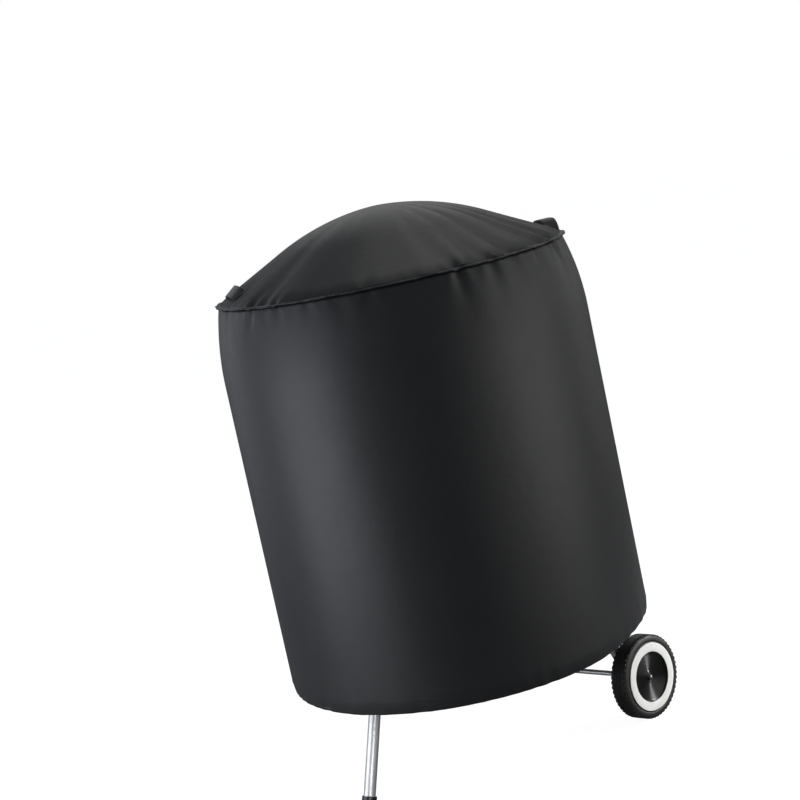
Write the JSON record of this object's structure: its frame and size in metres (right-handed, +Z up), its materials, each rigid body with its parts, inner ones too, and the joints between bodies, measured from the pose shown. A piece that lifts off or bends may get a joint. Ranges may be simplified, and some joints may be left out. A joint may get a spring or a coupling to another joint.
{
  "type": "grill cover on its kettle grill",
  "caption": "Round fitted cloth cover with a domed top and elastic hem, over a three-legged kettle grill on two wheels.",
  "frame": {"origin": "on the floor under the kettle's axis", "axes": "+Z up, X along the axle, +Y towards the wheels, the plain front leg towards -Y"},
  "size_m": [0.6579, 0.669, 1.0113],
  "materials": {
    "cover_cloth": "coated polyester, charcoal, soft sheen",
    "seam_tape": "woven tape",
    "webbing": "woven polyester webbing",
    "elastic": "covered elastic cord",
    "black_enamel": "glossy porcelain enamel",
    "handle_plastic": "moulded nylon",
    "plain_steel": "zinc plated",
    "satin_aluminium": "satin",
    "foot_plastic": "moulded",
    "blackened_steel": "blackened spring steel",
    "plated_wire": "plated wire",
    "tyre_rubber": "moulded, ribbed",
    "white_band": "satin",
    "hub_plastic": "gloss, fine turned rings"
  },
  "bodies": {
    "grill": {"bowl": "black_enamel", "lid_shell": "black_enamel", "lid_handle": "handle_plastic", "lid_handle_posts": "plain_steel", "lid_heat_shield": "plain_steel", "lid_vent_rivet": "plain_steel", "bowl_handle_right": "handle_plastic", "bowl_handle_left": "handle_plastic", "bowl_handle_posts": "plain_steel", "leg_sockets": "plain_steel", "front_leg": "satin_aluminium", "rear_leg_right": "satin_aluminium", "rear_leg_left": "satin_aluminium", "front_foot": "foot_plastic", "rear_leg_plugs": "foot_plastic", "axle": "plain_steel", "push_nuts": "blackened_steel", "axle_washers": "plain_steel", "wire_rack": "plated_wire", "ash_pan": "satin_aluminium", "ash_pan_clips": "plain_steel", "coal_grate": "plated_wire", "cooking_grate": "plated_wire", "grate_pins": "plain_steel"},
    "cover": {"top_panel": "cover_cloth", "side_panel": "cover_cloth", "top_seam_binding": "cover_cloth", "side_seam_tape": "seam_tape", "hem_band": "cover_cloth", "hem_elastic": "elastic", "grab_handle_rear": "webbing", "grab_handle_front": "webbing"},
    "vent_damper": {"lid_damper": "plain_steel"},
    "ash_sweeper": {"sweeper_blades": "plain_steel", "sweeper_lever": "plain_steel", "sweeper_nut": "plain_steel", "sweeper_grip": "handle_plastic"},
    "wheel_right": {"tyre_right": "tyre_rubber", "whitewall_right": "white_band", "hub_right": "hub_plastic"},
    "wheel_left": {"tyre_left": "tyre_rubber", "whitewall_left": "white_band", "hub_left": "hub_plastic"}
  },
  "joints": [
    {"name": "cover_lift", "type": "slide", "parent": "grill", "child": "cover", "axis": [0, 0, 1], "range_m": [0, 0.85]},
    {"name": "wheel_right_spin", "type": "hinge", "parent": "grill", "child": "wheel_right", "pos_m": [0.219, 0.2, 0.0762], "axis": [1, 0, 0], "continuous": true},
    {"name": "wheel_left_spin", "type": "hinge", "parent": "grill", "child": "wheel_left", "pos_m": [-0.219, 0.2, 0.0762], "axis": [1, 0, 0], "continuous": true},
    {"name": "vent_damper_turn", "type": "hinge", "parent": "grill", "child": "vent_damper", "pos_m": [0, -0.13653, 0.90252], "axis": [0, -0.454, 0.891], "continuous": true},
    {"name": "ash_sweeper_turn", "type": "hinge", "parent": "grill", "child": "ash_sweeper", "pos_m": [0, 0, 0.495], "axis": [0, 0, 1], "range_deg": [0, 60]}
  ]
}
